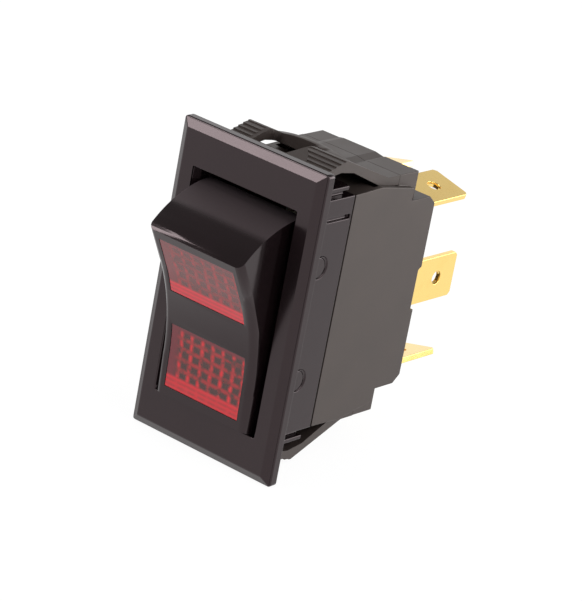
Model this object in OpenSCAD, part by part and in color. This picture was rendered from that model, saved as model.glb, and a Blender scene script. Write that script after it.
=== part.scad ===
// Panel rocker switch: two poles, two lamps behind prismatic lenses, six quick-connect tabs,
// snapped into a panel by two moulded wings.
// X is the width, -Y the front, +Y the back and Z the long way of the switch.
// The origin is the middle of the flange's rear face, which seats on the panel.
// "near" is the +X side and "far" the -X side. The upper end of the rocker stands out at rest.

/* [Flange] */
// Width of the flange
bezel_w = 24.2; // [23.6:0.1:30]
// Height of the flange
bezel_h = 43.06; // [42:0.1:52]
// Whole thickness of the flange
bezel_t = 2.06; // [1.7:0.02:2.6]
// Thickness of the flange at its edge, behind the bevel
bezel_edge_t = 1.24; // [0.9:0.02:1.5]
// Width of the bevel round the flange
bevel_w = 1.25; // [0.8:0.05:1.8]
// Radius of the flange's corners
bezel_corner_r = 0.5; // [0.4:0.1:2]
// How far the opening's sides flare outwards at the front
opening_flare = 0.65; // [0.2:0.05:0.8]
// How far the flange closes in over the collar at each end of the opening
opening_nip = 0.3; // [0.1:0.05:0.35]

/* [Collar] */
// Width of the collar and of the base behind it
body_w = 18.36; // [15.3:0.02:22]
// Thickness of the collar's and the base's side walls
side_wall = 1.13; // [0.95:0.01:1.4]
// Depth of the collar behind the flange
collar_d = 9.2; // [8:0.1:11]
// Thickness of the collar's end walls beside the end blocks
end_wall = 0.4; // [0.3:0.05:1]
// Thickness of the end blocks that fill the panel's cut-out
block_t = 1.85; // [1.2:0.05:2.0]
// How far each end block stops short of the collar's side
block_inset = 1.18; // [0.8:0.02:2]
// Depth of the end blocks
block_d = 8.0; // [6:0.1:9]
// Thickness of the lip on each end block
lip_t = 0.6; // [0.4:0.05:0.8]

/* [Rocker] */
// Distance of the rocker's pivot behind the panel's face
pivot_y = 4.0; // [3.6:0.1:4.4]
// Whole angle that the rocker tips through
throw_angle = 33; // [26:0.5:34]
// Gap between the rocker and the collar on each side
rocker_gap = 0.2; // [0.1:0.05:0.4]
// Gap between the sweep of the rocker's ends and the collar
sweep_gap = 0.2; // [0.1:0.05:0.5]
// Distance from the pivot to the middle of the rocker's face
face_reach = 8.9; // [8.4:0.1:9.6]
// Radius of the hollow in the rocker's face
face_r = 28; // [22:1:40]
// Slope of the flat flanks of the rocker's face
flank_angle = 14; // [10:0.5:16]
// Radius of the rocker's rounded ends
end_r = 16.17; // [15.8:0.01:18]
// Distance of the end curves' centres in front of the pivot
end_centre_f = 2.75; // [2:0.05:3.4]
// Distance of the end curves' centres past the pivot, away from the end they draw
end_centre_z = 1.25; // [0.8:0.05:1.6]
// Wall of the rocker's sides and ends
rocker_wall = 1.0; // [0.8:0.05:1.2]
// Thickness of the rocker's face
face_t = 1.2; // [1:0.05:1.5]
// Radius of the long edges of the rocker's face
face_edge_r = 1.1; // [0.5:0.05:1.15]
// Radius of the trunnions
trunnion_r = 1.3; // [1:0.05:1.6]
// Length of the trunnions outside the rocker
trunnion_l = 0.85; // [0.6:0.05:0.9]
// Running clearance round the trunnions
trunnion_clear = 0.05; // [0.03:0.01:0.09]

/* [Lenses] */
// Width of a lens
lens_w = 12.5; // [10:0.1:12.8]
// Distance from the rocker's middle to a lens
lens_start = 2.6; // [2.5:0.05:3.2]
// Distance from the rocker's middle to the far edge of a lens
lens_end = 11.3; // [10:0.05:11.5]
// How far a lens sits below the rocker's face
lens_inset = 0.06; // [0.02:0.01:0.2]
// Gap round a lens in its window
lens_gap = 0.05; // [0.03:0.01:0.1]
// Thickness of the flange that holds a lens behind the rocker's face wall
lens_flange_t = 0.7; // [0.5:0.05:0.9]
// Whole depth of a lens
lens_d = 3.4; // [2:0.1:3.5]
// Prisms across a lens
prism_columns = 7; // [4:1:10]
// Prisms along a lens
prism_rows = 5; // [3:1:8]
// Depth of the grooves between the prisms
prism_d = 0.45; // [0.3:0.05:0.7]

/* [Base] */
// Distance from the panel's face to the rear of the base
base_d = 27.5; // [26:0.1:32]
// Half height of the base where it meets the collar
base_front_z = 16.3; // [16.1:0.05:17]
// Half height of the base at its highest
base_crown_z = 16.5; // [16.4:0.05:17.2]
// Where the base is highest
base_crown_y = 15; // [13:0.1:16]
// Where the base steps in behind the wings
base_step_y = 22.1; // [21.5:0.1:23]
// Half height of the base in front of that step
base_step_z = 15.35; // [15.2:0.05:15.8]
// Thickness of the base's floor
floor_t = 2.1; // [1.6:0.1:3]
// Depth of the bevel at the rear ends of the base
rear_bevel = 1.1; // [0.5:0.1:1.6]
// Overlap of the collar's tongue into the base
tongue_l = 1.5; // [1:0.1:2]
// Thickness of the tongue
tongue_t = 0.5; // [0.35:0.05:0.6]
// Gap round the tongue and at the seam
seam_gap = 0.16; // [0.02:0.01:0.2]

/* [Snap wings] */
// Width of a wing
wing_w = 16.6; // [14:0.1:17]
// Half height of the switch over a wing's crest
wing_crest_z = 21.0; // [20.2:0.1:21.4]
// Distance of the crest behind the panel's face
wing_crest_y = 7.3; // [6.5:0.1:8.5]
// Radius of the crest
wing_crest_r = 1.0; // [0.5:0.1:2]
// Distance of a wing's front edge behind the panel's face
wing_front_y = 2.15; // [2.1:0.05:2.6]
// Slope of the pad that wedges behind the panel
pad_slope = 15.2; // [14:0.2:18]
// Thickness of a wing
wing_t = 1.34; // [1.2:0.02:1.4]
// Thickness of a wing's front edge
wing_front_t = 0.65; // [0.5:0.05:0.7]
// Where a wing's root ends against the base
wing_root_y = 19.5; // [19:0.1:20]
// Half height of the underside of a wing's root
wing_root_z = 15.9; // [15.8:0.05:16.1]
// Gap between a wing's root and the block behind it
root_gap = 0.04; // [0.02:0.01:0.1]
// Angle that a wing bends inwards
wing_bend = 3.5; // [2:0.5:3.5]

/* [Tabs] */
// Width of a tab
tab_w = 6.35; // [5.3:0.05:6.6]
// Thickness of a tab
tab_t = 0.8; // [0.65:0.05:1]
// Chamfer of the corners of a tab's tip
tab_chamfer = 0.45; // [0.3:0.05:1]
// Radius of the hole in a tab
tab_hole_r = 0.95; // [0.7:0.05:1.1]
// Distance from a tab's tip to its hole
tab_hole_inset = 4.0; // [3.5:0.1:4.6]
// Distance from the panel's face to the tips of the outer tabs
outer_tip_y = 37.07; // [35:0.1:44]
// Distance from the panel's face to the tips of the centre tabs
centre_tip_y = 37.8; // [35:0.1:44]
// Distance of the outer tabs from the middle
outer_tab_z = 12.1; // [11.8:0.05:12.6]
// Tilt of the outer tabs
tab_tilt = 13.2; // [8:0.2:15]
// Gap between a tab and its slot
slot_gap = 0.05; // [0.03:0.01:0.1]

/* [Contacts] */
// Width of a contact bar
bar_w = 3.2; // [2.6:0.1:3.4]
// Thickness of a contact bar
bar_t = 0.8; // [0.6:0.05:0.9]
// Distance from the rocker's pivot to the contact bar's pivot
bar_reach = 10.98; // [10.6:0.02:11.2]
// Angle that a contact bar tips to each side
bar_tilt = 6; // [5:0.25:6.5]
// Radius of the ridge that a contact bar rocks on
ridge_r = 0.6; // [0.5:0.05:0.7]
// Radius of the contacts
contact_r = 1.5; // [1.2:0.05:1.55]
// Thickness of the moving contacts
button_t = 0.8; // [0.6:0.05:0.9]
// Distance of the contacts from their tab, towards the middle
contact_inset = 1.9; // [1.7:0.05:2.1]
// Gap left between closed contacts
contact_gap = 0.05; // [0.02:0.01:0.1]
// Gap between a contact bar and the ridge that it rocks on
bar_gap = 0.03; // [0.02:0.01:0.08]

/* [Plungers] */
// Radius of a plunger
plunger_r = 1.2; // [1:0.05:1.3]
// Distance from the rocker's pivot to the middle of a plunger's round tip
tip_reach = 8.3; // [8:0.05:8.5]
// Running clearance round a plunger
plunger_clear = 0.05; // [0.03:0.01:0.09]
// Wall of the tower that guides a plunger
tower_wall = 0.7; // [0.5:0.05:0.8]
// Thickness of the spring's wire
spring_wire = 0.36; // [0.25:0.01:0.4]
// Turns of the spring
spring_turns = 7; // [5:1:9]
// Length of the spring in its bore
spring_l = 5.8; // [4.5:0.1:6.2]

/* [Lamps] */
// Radius of a lamp's bulb
lamp_r = 1.5; // [1.2:0.05:1.6]
// Distance of the lamps from the middle
lamp_z = 8.0; // [7.4:0.1:8.4]
// Distance of a lamp's tip behind the panel's face
lamp_tip_y = 0.6; // [0.5:0.1:2]
// Radius of a lamp's leads
lead_r = 0.3; // [0.2:0.02:0.35]

/* [Hidden] */
$fn = 64;

black = [0.07, 0.07, 0.075];
gold = [0.93, 0.78, 0.42];
copper = [0.75, 0.45, 0.28];
silver = [0.82, 0.82, 0.80];
red = [0.75, 0.08, 0.10, 0.85];
clear_glass = [0.85, 0.88, 0.86, 0.5];

through = 40; // longer than anything that is cut through
half_throw = throw_angle / 2;
inner_x = body_w / 2 - side_wall; // inside of the side walls

// Rocker, measured from its pivot: f is the distance forwards, z the distance up.
rocker_x = inner_x - rocker_gap;
hollow_x = rocker_x - rocker_wall;
face_centre_f = face_reach + face_r;
flank_z = face_r * sin(flank_angle);
blend = 0.01; // how proud the flanks stand of the true tangent, so that they cross the hollow cleanly
blend_l = sqrt(2 * face_r * blend); // from the true tangent to where they cross
flank_f = face_centre_f - face_r * cos(flank_angle) + blend;
skirt_f = -0.9; // rear edge of the rocker's ends
hub_f = -2.6; // rear edge of the rocker's sides beside the trunnions
hub_z = 2.4;
end_centre_l = norm([end_centre_f, end_centre_z]);
end_centre_angle = -atan2(end_centre_z, end_centre_f);
sweep_z = end_r + end_centre_l * sin(end_centre_angle + half_throw);

// Collar and flange
cavity_z = sweep_z + sweep_gap; // inside of the collar's end walls
collar_z = cavity_z + end_wall;
block_z = cavity_z + block_t;
block_x = body_w / 2 - block_inset;
opening_z = cavity_z - opening_nip;
flare_d = 1.05; // depth of the opening's flared lead-in
socket_clear = 0.1; // gap at the end of a trunnion

// Snap wings
wing_front_z = wing_crest_z - (wing_crest_y - wing_front_y) * tan(pad_slope);
wing_slope = 3; // extra angle of the recess under a bent wing
wing_slope_end = 17; // where a wing's rear slope meets its root
wing_root_top = wing_root_z + wing_t;
window_y0 = wing_front_y + 1.65; // front and rear of the window through a wing
window_y1 = wing_crest_y + 1.3;
window_far_x = -4.6;
window_r = 0.8; // radius of its rear corners
arch_h = 0.36; // height of the arched strap behind the window
arch_r = 25;
arch_x = 0.8; // where it is highest
ridge_pitch = 0.93; // from one pad ridge to the next
pad_ridges = 4;
pad_ridge_h = 0.2;
pad_d = 0.12; // depth of the pockets that the ridges stand in
pad_y0 = wing_front_y + 0.95; // front and rear of the pockets
pad_y1 = wing_crest_y - 0.3;
land_h = 0.14; // height of the raised land across a wing's root and block

// Tabs
centre_gap = 0.38; // gap between a centre tab and the side wall
centre_x = inner_x - centre_gap - tab_t / 2;
tab_corner_x = tab_w / 2 * cos(tab_tilt) + tab_t / 2 * sin(tab_tilt);
tab_corner_z = tab_w / 2 * sin(tab_tilt) + tab_t / 2 * cos(tab_tilt);
outer_gap = 0.15; // gap between an outer tab and the side wall
outer_x = inner_x - outer_gap - tab_corner_x;
rear_skin = 0.28; // thinnest wall outside an outer tab
slot_run = 0.35; // how far a centre tab's slot runs past each side of the tab
rear_z = outer_tab_z + tab_corner_z + slot_gap + rear_skin;

// Inside of the base
well_y = 20.9; // where the wide part of the base's inside ends
well_z = 14.6;
pocket_y = base_d - floor_t; // front of the floor
pocket_z = outer_tab_z - tab_corner_z - 0.5;

// Contacts
pole_inset = 1.65; // from the rocker's inner side to the middle of a pole
pole_x = hollow_x - pole_inset;
contact_z = outer_tab_z - contact_inset;
bar_pivot_y = pivot_y + bar_reach;
bar_z = contact_z + contact_r - 0.2;
trough_z = 2.9; // half height of the trough that the plunger slides in

// The plunger's tip draws an arc in the bar's own frame, through these two places.
tip_middle = tip_reach - bar_reach;
tip_end_y = tip_reach * cos(half_throw) - bar_reach;
tip_end_z = tip_reach * sin(half_throw);
tip_turned_y = tip_end_y * cos(bar_tilt) - tip_end_z * sin(bar_tilt);
tip_turned_z = tip_end_y * sin(bar_tilt) + tip_end_z * cos(bar_tilt);
tip_sag = tip_middle - tip_turned_y;
tip_path_r = (tip_turned_z * tip_turned_z + tip_sag * tip_sag) / (2 * tip_sag);
trough_r = tip_path_r + plunger_r + contact_gap;
trough_centre = tip_middle - tip_path_r;
arm_front = trough_centre + sqrt(trough_r * trough_r - trough_z * trough_z);
arm_rear = arm_front + bar_t;
button_face = arm_rear + button_t;
closed_face_y = bar_pivot_y + button_face * cos(bar_tilt) + contact_z * sin(bar_tilt);
dome_r = 4;
dome_y = closed_face_y + contact_gap; // front of a fixed contact
foot_y = dome_y + 0.85; // front of an outer tab's foot
foot_w = 4;
foot_reach = 3.5;
ridge_rise = 0.42; // from the ridge's axis to the centre tab's foot
ridge_y = pivot_y + tip_reach + plunger_r + contact_gap + bar_t + bar_gap + ridge_r;
centre_foot_y = ridge_y + ridge_rise;
centre_foot_z = 2;

// Plungers, measured backwards from the rocker's pivot along the bore
tower_end = 5.5;
plunger_start = 3.2;
bore_r = plunger_r + plunger_clear;
tower_r = bore_r + tower_wall;
spring_start = plunger_start - spring_l;
spring_r = bore_r - 0.1 - spring_wire / 2;
end_play = 0.03; // gap at each end of the spring

// Lamps
holder_y = 11.0;
holder_t = 1.4;
holder_x = pole_x - bar_w / 2 - 1;
holder_z = outer_tab_z - 0.2;
holder_leg_x = 1.1;
holder_leg_z = pocket_z + 0.15; // the legs' undersides, so that they stand on the step at well_y
socket_l = 1.6;
socket_wall = 0.8;
lead_x = 0.65;
lead_hole_gap = 0.05;
lead_run_y = foot_y + tab_t + lead_r + 0.05;
lead_end_z = contact_z - 0.3;

// An outline in Y and Z, extruded from x0 to x1.
module along_x(x0, x1) {
    translate([x0, 0, 0])
        rotate([90, 0, 90])
            linear_extrude(x1 - x0)
                children();
}

// An outline in X and Z, extruded from y0 to y1.
module along_y(y0, y1) {
    translate([0, y1, 0])
        rotate([90, 0, 0])
            linear_extrude(y1 - y0)
                children();
}

// An outline in X and Y, extruded from z0 to z1.
module along_z(z0, z1) {
    translate([0, 0, z0])
        linear_extrude(z1 - z0)
            children();
}

module box(x0, x1, y0, y1, z0, z1) {
    translate([x0, y0, z0])
        cube([x1 - x0, y1 - y0, z1 - z0]);
}

module rod_x(r, x0, x1) {
    translate([x0, 0, 0])
        rotate([0, 90, 0])
            cylinder(r = r, h = x1 - x0);
}

module rod_y(r, y0, y1) {
    translate([0, y0, 0])
        rotate([-90, 0, 0])
            cylinder(r = r, h = y1 - y0);
}

// A round pin along +Y from y0, whose tip is a half ball with its middle at y1.
module round_tip_rod(r, y0, y1) {
    translate([0, y0, 0])
        rotate([-90, 0, 0])
            rotate_extrude() {
                square([r, y1 - y0]);
                intersection() {
                    translate([0, y1 - y0])
                        circle(r);
                    square([r, y1 - y0 + r]);
                }
            }
}

module rounded_rect(w, h, r) {
    square([w - 2 * r, h], center = true);
    square([w, h - 2 * r], center = true);
    for (sx = [-1, 1], sy = [-1, 1])
        translate([sx * (w / 2 - r), sy * (h / 2 - r)])
            circle(r);
}

// Copies its children at both ends (the lower one a mirror image).
module both_ends() {
    children();
    mirror([0, 0, 1])
        children();
}

module both_sides() {
    children();
    mirror([1, 0, 0])
        children();
}

function swap(points) = [for (p = points) [p[1], p[0]]];

// ---- Flange and collar ----

function bevel_outline(half) = [
    [0, -half],
    [0, half],
    [-bezel_edge_t, half],
    [-bezel_t, half - bevel_w],
    [-bezel_t, bevel_w - half],
    [-bezel_edge_t, -half]
];

module flange() {
    intersection() {
        along_x(-bezel_w / 2, bezel_w / 2)
            polygon(bevel_outline(bezel_h / 2));
        along_z(-bezel_h / 2, bezel_h / 2)
            polygon(swap(bevel_outline(bezel_w / 2)));
        along_y(-bezel_t, 0)
            rounded_rect(bezel_w, bezel_h, bezel_corner_r);
    }
}

// The collar's end blocks fill the cut-out. Each has a lip that stands out past its sides.
module end_blocks() {
    both_ends() {
        box(-block_x, block_x, -0.5, block_d, collar_z - end_wall / 2, block_z);
        box(-block_x - 1, block_x + 1, -0.5, block_d - 0.2, block_z - lip_t, block_z);
    }
}

// The hollow for the rocker: flared at the front, and as high behind the flange as the ends sweep.
module rocker_cavity() {
    intersection() {
        along_x(-through, through)
            polygon([
                [-bezel_t - 1, -opening_z], [-bezel_t - 1, opening_z],
                [-bezel_t, opening_z], [-0.6, cavity_z],
                [through, cavity_z], [through, -cavity_z],
                [-0.6, -cavity_z], [-bezel_t, -opening_z]
            ]);
        along_z(-through, through)
            polygon([
                [-inner_x - opening_flare, -bezel_t - 1], [-inner_x - opening_flare, -bezel_t],
                [-inner_x, -bezel_t + flare_d], [-inner_x, through],
                [inner_x, through], [inner_x, -bezel_t + flare_d],
                [inner_x + opening_flare, -bezel_t], [inner_x + opening_flare, -bezel_t - 1]
            ]);
    }
}

// Tongues on the collar's side walls, which locate the base.
module tongues() {
    both_sides()
        box(inner_x, inner_x + tongue_t, collar_d - 1, collar_d + tongue_l, -14, 14);
}

// A shallow crescent in the collar's side, left by an ejector.
module crescent_cut(z) {
    translate([body_w / 2, 4.4, z])
        difference() {
            rod_x(1.55, -0.12, 1);
            translate([0, -0.35, 0])
                rod_x(1.45, -1, 2);
        }
}

// Shallow slots in the collar's sides near its upper end.
module side_slots() {
    both_sides()
        box(body_w / 2 - 0.45, body_w, 4.2, collar_d - 0.4, 13.25, 13.85);
}

module bezel_frame() {
    color(black)
        difference() {
            union() {
                flange();
                box(-body_w / 2, body_w / 2, -0.5, collar_d, -collar_z, collar_z);
                end_blocks();
                tongues();
            }
            rocker_cavity();
            both_sides() {
                translate([0, pivot_y, 0])
                    rod_x(trunnion_r + trunnion_clear, 0, rocker_x + trunnion_l + socket_clear);
                crescent_cut(7.1);
                crescent_cut(-8.7);
            }
            side_slots();
        }
}

// ---- Base ----

function base_profile() = [
    [collar_d + seam_gap, base_front_z],
    [base_crown_y, base_crown_z],
    [base_step_y, base_step_z],
    [base_step_y, rear_z],
    [base_d - 1.3, rear_z],
    [base_d, rear_z - rear_bevel]
];

function mirrored(points) = concat(points, [for (i = [len(points) - 1:-1:0]) [points[i][0], -points[i][1]]]);

// Blocks on the base that the wings' roots butt against.
module wing_blocks() {
    block_end = 23.66;
    both_ends()
        difference() {
            union() {
                box(-wing_w / 2, wing_w / 2, wing_root_y + root_gap, block_end, rear_z - 1, wing_root_top);
                root_land(wing_root_y + root_gap, block_end);
            }
            root_hollow();
        }
}

// Room under each wing, as deep as it needs when the wing bends.
module wing_recess() {
    recess_y = base_crown_y - 1;
    recess_drop = (wing_root_y - recess_y) * tan(wing_bend + wing_slope);
    both_ends()
        along_x(-wing_w / 2 - 0.1, wing_w / 2 + 0.1)
            polygon([
                [recess_y, through], [recess_y, wing_root_z - recess_drop],
                [wing_root_y + root_gap, wing_root_z - root_gap], [wing_root_y + root_gap, through]
            ]);
}

module tab_slots() {
    both_sides() {
        box(centre_x - tab_t / 2 - slot_gap, centre_x + tab_t / 2 + slot_gap,
            well_y - 1, through, -tab_w / 2 - slot_run, tab_w / 2 + slot_run);
        both_ends()
            outer_frame()
                box(-tab_w / 2 - slot_gap, tab_w / 2 + slot_gap, well_y - 1, through,
                    -tab_t / 2 - slot_gap, tab_t / 2 + slot_gap);
    }
}

// Notches in the rear edges of the side walls, beside the centre tabs.
module rear_notches() {
    both_sides()
        along_x(body_w / 2 - side_wall, body_w)
            polygon([[base_d + 1, 3.9], [base_d - 0.6, 2.9], [base_d - 0.6, -2.9], [base_d + 1, -2.9]]);
}

module base_housing() {
    color(black)
        difference() {
            union() {
                along_x(-body_w / 2, body_w / 2)
                    polygon(mirrored(base_profile()));
                wing_blocks();
            }
            wing_recess();
            box(-inner_x, inner_x, 0, well_y, -well_z, well_z);
            box(-inner_x, inner_x, 0, pocket_y, -pocket_z, pocket_z);
            both_sides()
                box(inner_x - 1, inner_x + tongue_t + seam_gap, 0, collar_d + tongue_l + seam_gap,
                    -14 - seam_gap, 14 + seam_gap);
            tab_slots();
            rear_notches();
        }
}

// ---- Snap wings ----

wing_profile = [
    [wing_front_y, wing_front_z],
    [wing_crest_y, wing_crest_z],
    [wing_slope_end, wing_root_top],
    [wing_root_y, wing_root_top],
    [wing_root_y, wing_root_z],
    [wing_slope_end - 0.6, wing_root_z],
    [wing_crest_y + 1.9, wing_crest_z - wing_t - 0.61],
    [wing_crest_y - 0.9, wing_crest_z - wing_t - 0.18],
    [wing_front_y, wing_front_z - wing_front_t]
];

// What rounds the crest, in the wing's side view.
module crest_corner() {
    rear_slope = atan((wing_crest_z - wing_root_top) / (wing_slope_end - wing_crest_y));
    half = (180 - pad_slope - rear_slope) / 2;
    translate([wing_crest_y, wing_crest_z])
        rotate((pad_slope - rear_slope) / 2)
            difference() {
                square([2 * wing_crest_r * cos(half), wing_crest_r], center = true);
                translate([0, -wing_crest_r / sin(half)])
                    circle(wing_crest_r + 0.003);
            }
}

// A window through the wedge pad and the crest, closed by a bar at the front.
module wing_window() {
    along_z(0, through) {
        for (x = [window_far_x + window_r, 2.7 - window_r])
            translate([x, window_y1 - window_r])
                circle(window_r);
        polygon([
            [window_far_x, window_y0], [1, window_y0], [1.95, wing_crest_y - 0.8],
            [2.7, window_y1 - window_r], [2.7 - window_r, window_y1],
            [window_far_x + window_r, window_y1], [window_far_x, window_y1 - window_r]
        ]);
    }
}

// The strap behind the window rises in a flat arch.
module window_arch() {
    slope = (wing_crest_z - wing_root_top) / (wing_slope_end - wing_crest_y);
    top_z = wing_crest_z - (window_y1 - wing_crest_y) * slope + arch_h;
    translate([arch_x, 0, top_z - arch_r])
        intersection() {
            rod_y(arch_r, window_y1 - 0.4, window_y1 + 1);
            box(-6, 6, window_y1 - 0.4, window_y1 + 1, arch_r - 1.2, arch_r + 1);
        }
}

// The outlines of the two ridged pads. The near one is cut back beside the window.
module pad_outlines() {
    polygon([
        [2.2, pad_y1 - 0.4], [3.6, pad_y0 + 2.05], [4.45, pad_y0 + 0.7], [4.6, pad_y0],
        [through, pad_y0], [through, pad_y1], [2.6, pad_y1]
    ]);
    translate([-through - 5.2, pad_y0])
        square([through, pad_y1 - pad_y0]);
}

// The shallow pockets that the ridges stand in.
module pad_pockets() {
    intersection() {
        along_x(-through, through)
            polygon([
                [wing_front_y, wing_front_z - pad_d], [wing_crest_y, wing_crest_z - pad_d],
                [wing_crest_y, through], [wing_front_y, through]
            ]);
        along_z(0, through)
            pad_outlines();
    }
}

// Steps across the pads that bite on the panel's edge.
module pad_ridges() {
    rise = ridge_pitch * tan(pad_slope);
    intersection() {
        for (i = [0:pad_ridges - 1])
            let (y = pad_y0 + 0.15 + i * ridge_pitch)
                translate([0, y, wing_front_z + (y - wing_front_y) * tan(pad_slope) - pad_d])
                    along_x(-wing_w / 2, wing_w / 2)
                        polygon([
                            [0, -0.1], [0, pad_ridge_h],
                            [ridge_pitch, rise + 0.02], [ridge_pitch, -0.1]
                        ]);
        along_z(0, through)
            pad_outlines();
    }
}

// A low land along the root and the block behind it, from y0 to y1.
module root_land(y0, y1) {
    along_y(y0, y1)
        polygon([
            [-5.4, wing_root_top - 0.5], [-5.4, wing_root_top], [-4.6, wing_root_top + land_h],
            [1.9, wing_root_top + land_h], [1.9, wing_root_top - 0.5]
        ]);
}

// The hollow that the land slopes down into on its near side.
module root_hollow() {
    along_y(wing_slope_end, through)
        polygon([
            [0.9, wing_root_top + land_h], [2.4, wing_root_top - 0.12], [2.6, wing_root_top],
            [2.6, wing_root_top + 1], [0.9, wing_root_top + 1]
        ]);
}

module wing() {
    difference() {
        union() {
            along_x(-wing_w / 2, wing_w / 2)
                difference() {
                    polygon(wing_profile);
                    crest_corner();
                }
            window_arch();
            root_land(wing_slope_end - 0.4, wing_root_y);
        }
        wing_window();
        pad_pockets();
        root_hollow();
    }
    pad_ridges();
}

module upper_wing() {
    color(black)
        wing();
}

module lower_wing() {
    color(black)
        mirror([0, 0, 1])
            wing();
}

// ---- Rocker ----

// Puts its children, drawn round the rocker's pivot with the rocker level, where they are at rest.
module rocker_frame() {
    translate([0, pivot_y, 0])
        rotate([half_throw, 0, 0])
            children();
}

function flank_at(z) = flank_f + (z - flank_z) * tan(flank_angle);

// The side view in front of which nothing stands: flat flanks and a hollow between them.
// It is drawn "back" millimetres behind the face, and reaches "rear" behind the pivot.
module face_side(back, rear) {
    tall = end_r + 3;
    translate([back, 0])
        difference() {
            polygon([
                [rear - back, -tall], [-flank_at(tall), -tall],
                [-flank_f, -flank_z], [-flank_f, flank_z],
                [-flank_at(tall), tall], [rear - back, tall]
            ]);
            translate([-face_centre_f, 0])
                circle(face_r);
        }
}

module end_discs(r) {
    intersection() {
        translate([-end_centre_f, -end_centre_z])
            circle(r);
        translate([-end_centre_f, end_centre_z])
            circle(r);
    }
}

module rocker_outline() {
    intersection() {
        face_side(0, 4);
        end_discs(end_r);
        polygon([
            [-through, -through], [-skirt_f, -through], [-skirt_f, -flank_z * 2.1],
            [-hub_f, -hub_z], [-hub_f, hub_z],
            [-skirt_f, flank_z * 2.1], [-skirt_f, through], [-through, through]
        ]);
    }
}

// A band of the face from "front" to "back" millimetres behind it, from z0 to z1.
module face_band(front, back, z0, z1) {
    intersection() {
        difference() {
            face_side(front, 4);
            face_side(back, 4);
        }
        translate([-through, z0])
            square([through, z1 - z0]);
    }
}

// What an edge of radius face_edge_r loses, with the edge at the origin and the solid in +X and +Y.
// The curve stands "proud" millimetres outside the true one, so that it crosses both faces.
module edge_corner(proud) {
    extra = 0.5;
    difference() {
        translate([-extra, -extra])
            square(face_edge_r + extra);
        translate([face_edge_r, face_edge_r])
            circle(face_edge_r + proud);
    }
}

// Rounds the edge where the face meets the near side: round the hollow and along the flanks.
module face_edge_cut() {
    hollow_angle = flank_angle + blend_l / face_r * 180 / PI;
    overlap = 0.25;
    translate([rocker_x, -face_centre_f, 0])
        rotate([0, -90, 0])
            rotate([0, 0, 90 - hollow_angle])
                rotate_extrude(angle = 2 * hollow_angle, $fn = 200)
                    translate([face_r, 0])
                        edge_corner(0.003);
    both_ends()
        translate([rocker_x, -flank_f, flank_z])
            rotate([flank_angle, 0, 0])
                translate([0, 0, blend_l - overlap])
                    linear_extrude(12)
                        mirror([1, 0])
                            edge_corner(0.01);
}

module plunger_tower() {
    translate([pole_x, 0, 0])
        rod_y(tower_r, -face_reach + face_t / 2, tower_end);
}

module plunger_bore() {
    translate([pole_x, 0, 0])
        rod_y(bore_r, spring_start - end_play, through);
}

module lens_window() {
    along_y(-through, 0)
        translate([-lens_w / 2 - lens_gap, lens_start - lens_gap])
            square([lens_w + 2 * lens_gap, lens_end - lens_start + 2 * lens_gap]);
}

module rocker() {
    color(black)
        rocker_frame()
            difference() {
                union() {
                    difference() {
                        along_x(-rocker_x, rocker_x)
                            rocker_outline();
                        along_x(-hollow_x, hollow_x)
                            intersection() {
                                face_side(face_t, through);
                                end_discs(end_r - rocker_wall);
                            }
                    }
                    both_sides() {
                        rod_x(trunnion_r, rocker_x - 0.5, rocker_x + trunnion_l);
                        plunger_tower();
                    }
                    box(-hollow_x - 0.1, hollow_x + 0.1, -face_reach + 0.5, -3, -0.5, 0.5);
                }
                both_sides() {
                    plunger_bore();
                    face_edge_cut();
                }
                both_ends()
                    lens_window();
            }
}

// ---- Lenses ----

// Crossed V grooves on the back of a lens, which leave rows of flat-topped prisms.
module prism_grooves() {
    pitch_x = lens_w / prism_columns;
    pitch_z = (lens_end - lens_start) / prism_rows;
    groove = prism_d * sqrt(2);
    mid_f = flank_at((lens_start + lens_end) / 2);
    for (i = [1:prism_columns - 1])
        translate([lens_w / 2 - i * pitch_x, -mid_f + lens_d, (lens_start + lens_end) / 2])
            rotate([flank_angle * 0.8, 0, 0])
                along_z(-8, 8)
                    rotate(45)
                        square(groove, center = true);
    for (i = [1:prism_rows - 1])
        let (z = lens_start + i * pitch_z, f = z > flank_z ? flank_at(z)
                : face_centre_f - sqrt(face_r * face_r - z * z))
            translate([0, -f + lens_d, z])
                along_x(-lens_w / 2 - 1, lens_w / 2 + 1)
                    rotate(45)
                        square(groove, center = true);
}

module lens() {
    rocker_frame()
        difference() {
            union() {
                along_x(-lens_w / 2, lens_w / 2)
                    face_band(lens_inset, lens_d, lens_start, lens_end);
                along_x(-hollow_x + 0.2, hollow_x - 0.2)
                    face_band(face_t + lens_gap, face_t + lens_flange_t, lens_start - 0.35, lens_end + 0.5);
            }
            prism_grooves();
        }
}

module upper_lens() {
    color(red)
        lens();
}

// The lower lens is the upper one turned end for end in the level rocker.
module lower_lens() {
    color(red)
        rocker_frame()
            mirror([0, 0, 1])
                rotate([-half_throw, 0, 0])
                    translate([0, -pivot_y, 0])
                        lens();
}

// ---- Tabs ----

// The flat of a tab: width across, length along Y, with a chamfered tip and a hole.
module tab_blade(y0, tip_y) {
    difference() {
        along_z(-tab_t / 2, tab_t / 2)
            polygon([
                [-tab_w / 2, y0], [-tab_w / 2, tip_y - tab_chamfer], [tab_chamfer - tab_w / 2, tip_y],
                [tab_w / 2 - tab_chamfer, tip_y], [tab_w / 2, tip_y - tab_chamfer], [tab_w / 2, y0]
            ]);
        translate([0, tip_y - tab_hole_inset, -tab_t])
            cylinder(r = tab_hole_r, h = 2 * tab_t);
    }
}

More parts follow.
